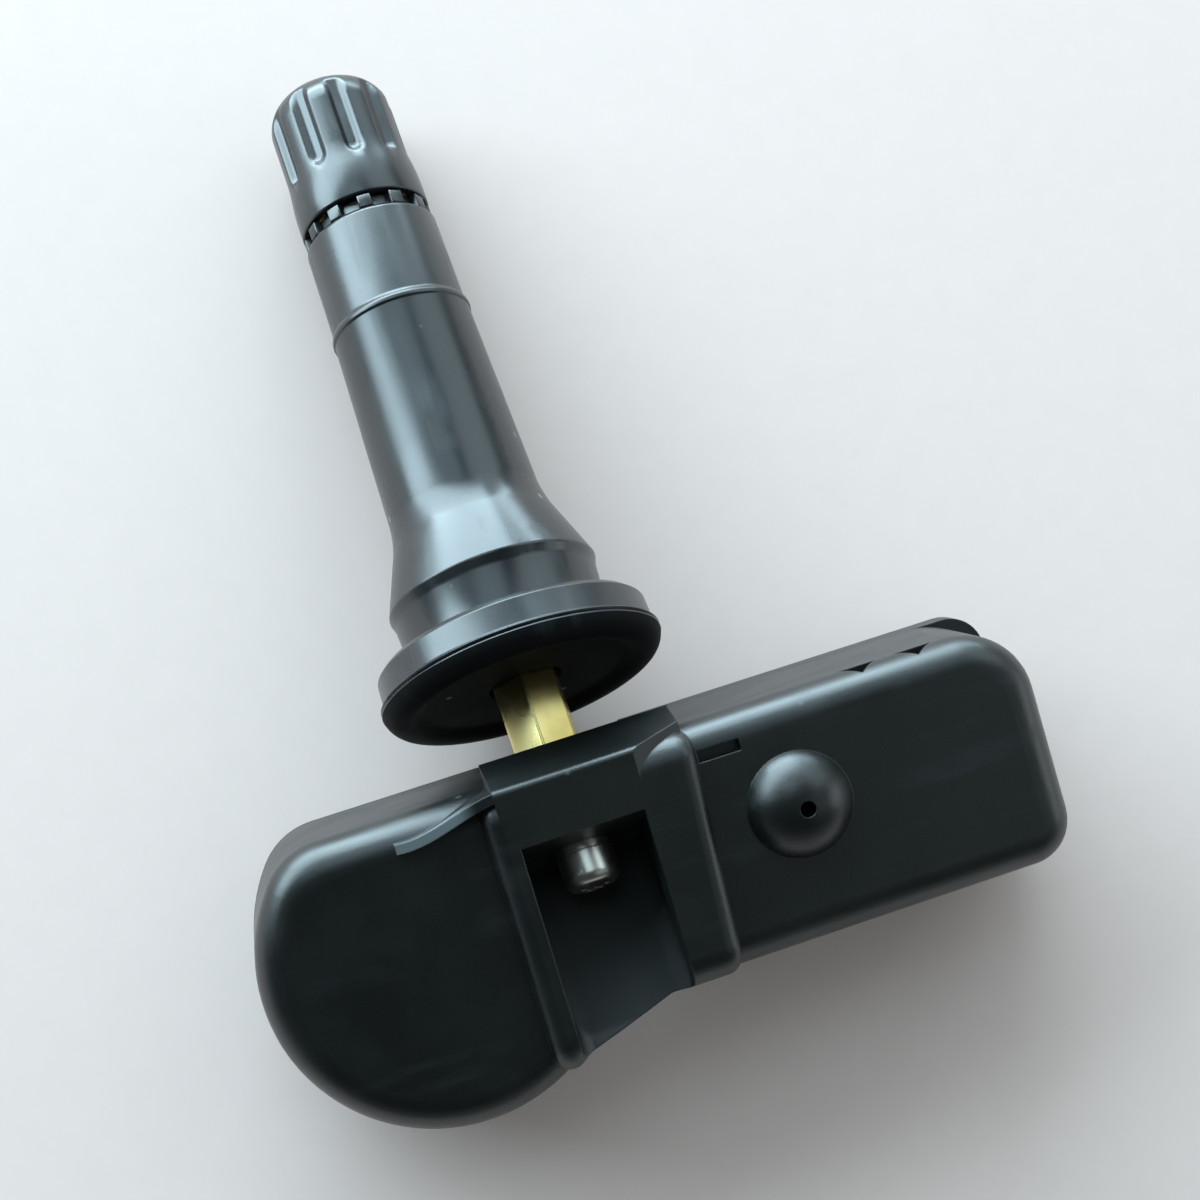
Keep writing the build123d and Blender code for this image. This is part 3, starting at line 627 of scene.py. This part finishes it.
rubberShape = {
    "steps": 168, "smooth": 40,
    # radius and height, then reach and steps of a rounding, as in the other profiles
    "line": [
        (3.4, 43.3), (3.4, 6.4), (2.64, 6.4), (2.64, 5.6, 0.1, 3), (7.4, 5.6, 0.3, 4), (8.15, 5.0, 0.35, 4),
        (9.0, 4.9, 0.4, 4), (9.85, 5.35, 0.45, 5), (10.2, 6.2, 0.06, 3), (10.02, 6.35), (10.2, 6.5, 0.05, 3),
        (9.85, 6.7, 0.05, 3), (9.79, 8.5, 0.06, 3), (9.3, 8.95, 0.08, 3), (7.9, 8.95, 0.06, 3), (7.9, 8.75),
        (7.2, 8.75, 0.12, 3), (7.4, 12.15, 0.15, 4), (7.63, 12.85, 0.12, 4), (5.56, 18.4, 1.27, 10),
        (5.14, 34.2, 0.05, 3), (5.26, 34.3, 0.05, 3), (5.26, 34.6, 0.08, 4), (5.04, 34.95, 0.12, 4),
        (4.96, 42.0, 0.12, 3), (4.66, 42.3, 0.06, 3), (4.15, 42.3, 0.06, 3), (4.15, 43.3), (3.4, 43.3),
    ],
    "toothCount": 12, "toothIn": 3.6, "toothOut": 4.8, "toothWidth": 1.05,
    "toothFoot": 42.25, "toothTop": 43.3, "toothEase": 0.12, "toothSteps": 3,
    "underTop": 6.15, "underOut": 10.1,
}


def makeTooth(shape):
    across = (shape["toothIn"] + shape["toothOut"]) / 2 * mm
    height = (shape["toothFoot"] + shape["toothTop"]) / 2 * mm
    sides = (
        shape["toothOut"] - shape["toothIn"], shape["toothWidth"], shape["toothTop"] - shape["toothFoot"]
    )
    tooth = startPiece(
        "tooth", bpy.ops.mesh.primitive_cube_add, sides, size=mm, location=(across, 0, height)
    )
    openEdit(tooth)
    pickEdges(tooth, lambda first, second: min(first.x, second.x) > across)
    bpy.ops.mesh.bevel(offset=shape["toothEase"] * mm, segments=shape["toothSteps"], affect="EDGES")
    closeEdit()
    return tooth


def isUnder(face, shape):
    across = math.hypot(face.center.x, face.center.y)
    return face.center.z < shape["underTop"] * mm and across < shape["underOut"] * mm


rubberPiece = drawLine("rubberPiece", rubberShape["line"])
easeCorners(rubberPiece, rubberShape["line"])
spinProfile(rubberPiece, rubberShape["steps"])
teeth = [makeTooth(rubberShape)]
toothPitch = math.tau / rubberShape["toothCount"]
for count in range(1, rubberShape["toothCount"]):
    teeth.append(turnedCopy(teeth[0], count * toothPitch))
joinInto(rubberPiece, teeth)
underFaces = [face.index for face in rubberPiece.data.polygons if isUnder(face, rubberShape)]
layAlongValve(rubberPiece)
smoothShade(rubberPiece, rubberShape["smooth"])
finishPiece(rubberPiece, valveRubber, "sensor", "valve_rubber")
# the dish under the flange is dull, and its darker colour is painted shade
rubberPiece.data.materials.append(underShadeRubber)
for index in underFaces:
    rubberPiece.data.polygons[index].material_index = 1
print("valve rubber made,", len(rubberPiece.data.polygons), "faces")


# valve cap: turned shell with flutes pressed in from the outside

capShape = {
    "steps": 320, "rows": 52, "smooth": 50,
    "line": [
        (0.0, 54.995), (4.67, 54.995, 2.8, 24), (4.67, 47.65, 0.7, 5), (4.88, 45.65, 0.7, 5),
        (4.88, 43.45, 0.14, 4), (4.25, 43.45, 0.06, 3), (4.25, 44.55), (3.95, 44.55), (3.95, 53.81),
        (0.0, 53.81),
    ],
    "fluteCount": 10, "fluteTurn": 8.5, "fluteHalf": 0.85, "fluteSide": 0.62,
    "fluteFlat": 4.18, "fluteFoot": 47.0,
}


def pressFlutes(piece, shape):
    openEdit(piece)
    cage = bmesh.from_edit_mesh(piece.data)
    pitch = math.tau / shape["fluteCount"]
    shift = math.radians(shape["fluteTurn"])
    for corner in cage.verts:
        across = math.hypot(corner.co.x, corner.co.y) / mm
        height = corner.co.z / mm
        if across < shape["fluteFlat"] or height < shape["fluteFoot"]:
            continue
        angle = math.atan2(corner.co.y, corner.co.x)
        middle = (math.floor((angle - shift) / pitch) + 0.5) * pitch + shift
        aside = across * math.sin(angle - middle)
        ahead = across * math.cos(angle - middle)
        # the flute's foot is round, its sides ease in and out
        below = max(0.0, shape["fluteFoot"] + shape["fluteHalf"] - height)
        inside = (shape["fluteHalf"] - math.hypot(aside, below)) / shape["fluteSide"]
        inside = min(max(inside, 0.0), 1.0)
        press = max(0.0, ahead - shape["fluteFlat"]) * inside * inside * (3 - 2 * inside)
        corner.co.x -= press * mm * math.cos(middle)
        corner.co.y -= press * mm * math.sin(middle)
    bmesh.update_edit_mesh(piece.data)
    closeEdit()


def isCapWall(first, second):
    return isUpright(first, second) and min(first.z, second.z) > capShape["fluteFoot"] * mm


capPiece = drawLine("capPiece", capShape["line"])
easeCorners(capPiece, capShape["line"])
pickEdges(capPiece, isCapWall)
bpy.ops.mesh.subdivide(number_cuts=capShape["rows"])
spinProfile(capPiece, capShape["steps"])
pressFlutes(capPiece, capShape)
layAlongValve(capPiece)
smoothShade(capPiece, capShape["smooth"])
finishPiece(capPiece, capPlastic, "cap", "valve_cap")
print("valve cap made,", len(capPiece.data.polygons), "faces")


# brass stem: shank, hexagonal post, and a cut thread on the tip

stemShape = {
    "steps": 96, "smooth": 30,
    "line": [
        (1.2, 2.4), (1.2, 36.0), (2.05, 36.0), (2.05, 45.2), (2.2, 45.2), (2.62, 46.6), (2.62, 53.0, 0.12, 2),
        (3.35, 53.0, 0.1, 3), (3.42, 52.5), (3.42, 43.3), (3.4, 43.3), (3.4, 6.4), (1.2, 6.4), (1.2, 2.4),
    ],
    "postSides": 6, "postFlats": 4.4, "postTurn": -10.0, "postEnd": -5.0, "postTop": 6.4,
    "postEase": 0.16, "postSteps": 4,
    # radius, and height as a share of the pitch
    "threadForm": [(3.36, 0.0), (3.86, 0.34), (3.86, 0.46), (3.36, 0.80), (3.36, 1.0)],
    "pitch": 0.79375, "threadFoot": 43.35, "threadTop": 52.55, "threadTurns": 13, "threadSteps": 72,
    "threadTuck": 0.85,
}


def makePost(shape):
    post = startPiece(
        "postPiece",
        bpy.ops.mesh.primitive_cylinder_add,
        vertices=shape["postSides"],
        radius=shape["postFlats"] / 2 / math.cos(math.pi / shape["postSides"]) * mm,
        depth=(shape["postTop"] - shape["postEnd"]) * mm,
        location=(0, 0, (shape["postTop"] + shape["postEnd"]) / 2 * mm),
        rotation=(0, 0, math.radians(shape["postTurn"])),
    )
    openEdit(post)
    pickEdges(post, isUpright)
    bpy.ops.mesh.bevel(offset=shape["postEase"] * mm, segments=shape["postSteps"], affect="EDGES")
    closeEdit()
    return post


def makeThread(shape):
    # one pitch of thread form carried up the tip, cut level at both ends
    start = shape["threadFoot"] - shape["pitch"]
    line = [(across, start + share * shape["pitch"]) for across, share in shape["threadForm"]]
    thread = drawLine("threadPiece", line)
    closeEdit()
    carryUp(thread, shape["pitch"], shape["threadTurns"], shape["threadSteps"])
    openEdit(thread)
    sewAndFace()
    for height, upper in ((shape["threadFoot"], False), (shape["threadTop"], True)):
        bpy.ops.mesh.select_all(action="SELECT")
        bpy.ops.mesh.bisect(
            plane_co=(0, 0, height * mm), plane_no=(0, 0, 1), clear_inner=not upper, clear_outer=upper
        )
    # both cut ends turn in under the shank's skin and meet there, so the thread is closed
    bpy.ops.mesh.select_mode(type="EDGE")
    bpy.ops.mesh.select_all(action="DESELECT")
    bpy.ops.mesh.select_non_manifold(
        use_wire=False, use_multi_face=False, use_non_contiguous=False, use_verts=False
    )
    bpy.ops.mesh.extrude_edges_move()
    bpy.ops.transform.resize(
        value=(shape["threadTuck"], shape["threadTuck"], 1.0), center_override=(0, 0, 0)
    )
    bpy.ops.mesh.bridge_edge_loops()
    sewAndFace()
    closeEdit()
    return thread


stemPiece = drawLine("stemPiece", stemShape["line"])
easeCorners(stemPiece, stemShape["line"])
spinProfile(stemPiece, stemShape["steps"])
joinInto(stemPiece, [makePost(stemShape), makeThread(stemShape)])
layAlongValve(stemPiece)
smoothShade(stemPiece, stemShape["smooth"])
finishPiece(stemPiece, paleBrass, "sensor", "valve_stem")
print("brass stem made,", len(stemPiece.data.polygons), "faces")


# core spring: a coil from its foot to its head; nothing here shortens it when the pin is pressed

springShape = {
    "wire": 0.32, "wireSides": 12, "radius": 1.08, "foot": 42.18, "head": 45.67,
    "turns": 5, "turnSteps": 40, "smooth": 50, "floor": 42.02, "keep": 0.655,
}
springPiece = startPiece(
    "springPiece",
    bpy.ops.mesh.primitive_circle_add,
    vertices=springShape["wireSides"],
    radius=springShape["wire"] / 2 * mm,
    location=(springShape["radius"] * mm, 0, springShape["foot"] * mm),
    rotation=(math.radians(90), 0, 0),
)
springRise = (springShape["head"] - springShape["foot"]) / springShape["turns"]
carryUp(springPiece, springRise, springShape["turns"], springShape["turnSteps"])
openEdit(springPiece)
bpy.ops.mesh.select_all(action="SELECT")
bpy.ops.mesh.fill_holes(sides=springShape["wireSides"])
sewAndFace()
closeEdit()
layAlongValve(springPiece)
smoothShade(springPiece, springShape["smooth"])
finishPiece(springPiece, springSteel, "sensor", "core_spring")
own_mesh(springPiece)
print("core spring made,", len(springPiece.data.polygons), "faces")


# floor, light and camera, in metres

floorLook = {
    "size": 3.0, "colour": (0.70, 0.565, 0.522), "rough": 0.8, "shine": 0.2,
    "paperScale": 400.0, "paperDetail": 4.0, "paperSpan": (0.3, 0.7), "paperTone": 0.985,
}
floorSheet = startPiece("floorSheet", bpy.ops.mesh.primitive_plane_add, size=floorLook["size"])
floorFinish, floorTree, floorShader, floorVector = startMaterial(
    "floorPaper", Roughness=floorLook["rough"], Specular_IOR_Level=floorLook["shine"]
)
paper = addNoise(floorTree, floorVector, floorLook["paperScale"], floorLook["paperDetail"])
paperMask = addRange(floorTree, paper, *floorLook["paperSpan"])
paperDark = tuple(floorLook["paperTone"] * part for part in floorLook["colour"])
paperColour = mixColours(floorTree, paperMask, paperDark, floorLook["colour"])
feed(floorTree, floorShader.inputs["Base Color"], paperColour)
floorSheet.data.materials.append(floorFinish)

# the sky that is seen and mirrored runs from horizon to zenith, and an even one lights the part
skyLook = {
    "horizon": (0.22, 0.27, 0.29), "zenith": (0.046, 0.056, 0.058), "heightSpan": (0.0, 0.40),
    "ambient": (0.24, 0.29, 0.31), "strength": 1.0,
}
sky = bpy.data.worlds.new("softRoom")
bpy.context.scene.world = sky
sky.use_nodes = True
skyTree = sky.node_tree
skyLight = skyTree.nodes["Background"]
skySpot = addNode(skyTree, "ShaderNodeTexCoord")
skyAxes = addNode(skyTree, "ShaderNodeSeparateXYZ")
feed(skyTree, skyAxes.inputs["Vector"], skySpot.outputs["Generated"])
skyHeight = addRange(skyTree, skyAxes.outputs["Z"], *skyLook["heightSpan"])
seenSky = mixColours(skyTree, skyHeight, skyLook["horizon"], skyLook["zenith"])
rays = addNode(skyTree, "ShaderNodeLightPath")
seen = addMath(skyTree, "MAXIMUM", rays.outputs["Is Camera Ray"], rays.outputs["Is Glossy Ray"])
seen = addMath(skyTree, "MAXIMUM", seen, rays.outputs["Is Transmission Ray"])
feed(skyTree, skyLight.inputs["Color"], mixColours(skyTree, seen, skyLook["ambient"], seenSky))
feed(skyTree, skyLight.inputs["Strength"], skyLook["strength"])

windowBlue = (0.66, 0.89, 1.0)
partMiddle = (0.0, 0.0, 0.010)
valveSide = (-0.004, 0.0, 0.010)
lamps = {
    "keyWindow": {
        "place": (-0.18, 0.46, 0.235), "aim": valveSide, "size": (1.0, 0.36), "watts": 10.2,
        "colour": windowBlue,
    },
    "lowWindow": {
        "place": (0.06, 0.60, 0.09), "aim": partMiddle, "size": (1.0, 0.16), "watts": 4.4,
        "colour": windowBlue,
    },
    "topGlow": {
        "place": (-0.05, 0.20, 0.46), "aim": valveSide, "size": (0.26, 0.22), "watts": 0.28,
        "colour": windowBlue,
    },
    "sideCard": {
        "place": (0.33, 0.22, 0.30), "aim": partMiddle, "size": (0.40, 0.36), "watts": 0.70,
        "colour": (0.74, 0.92, 1.0),
    },
    "rightFill": {
        "place": (0.50, -0.12, 0.14), "aim": partMiddle, "size": (0.30, 0.22), "watts": 0.32,
        "colour": (0.86, 0.97, 1.0),
    },
    "faceFill": {
        "place": (0.27, -0.22, 0.40), "aim": partMiddle, "size": (0.34, 0.34), "watts": 0.12,
        "colour": (0.80, 0.95, 0.96),
    },
}
for name, lamp in lamps.items():
    bulb = bpy.data.lights.new(name, "AREA")
    bulb.shape = "RECTANGLE"
    bulb.size, bulb.size_y = lamp["size"]
    bulb.energy = lamp["watts"]
    bulb.color = lamp["colour"]
    stand = bpy.data.objects.new(name, bulb)
    bpy.context.scene.collection.objects.link(stand)
    stand.location = lamp["place"]
    towards = Vector(lamp["aim"]) - Vector(lamp["place"])
    stand.rotation_euler = towards.to_track_quat("-Z", "Y").to_euler()
    stand.visible_camera = False

# place in metres, turn in degrees, lens and sensor in mm
shot = {
    "place": (-0.019225, -0.035335, 0.166958), "turn": (12.1852, -4.0728, -18.5186),
    "lens": 68.34, "sensor": 36.0, "clipStart": 0.005, "clipEnd": 20.0,
}
eye = bpy.data.cameras.new("shotCamera")
eye.sensor_width = shot["sensor"]
eye.lens = shot["lens"]
eye.clip_start = shot["clipStart"]
eye.clip_end = shot["clipEnd"]
camera = bpy.data.objects.new("shotCamera", eye)
bpy.context.scene.collection.objects.link(camera)
camera.rotation_euler = [math.radians(part) for part in shot["turn"]]
camera.location = shot["place"]
bpy.context.scene.camera = camera
bpy.context.scene.view_settings.view_transform = "Standard"
print("floor, lamps and camera set")
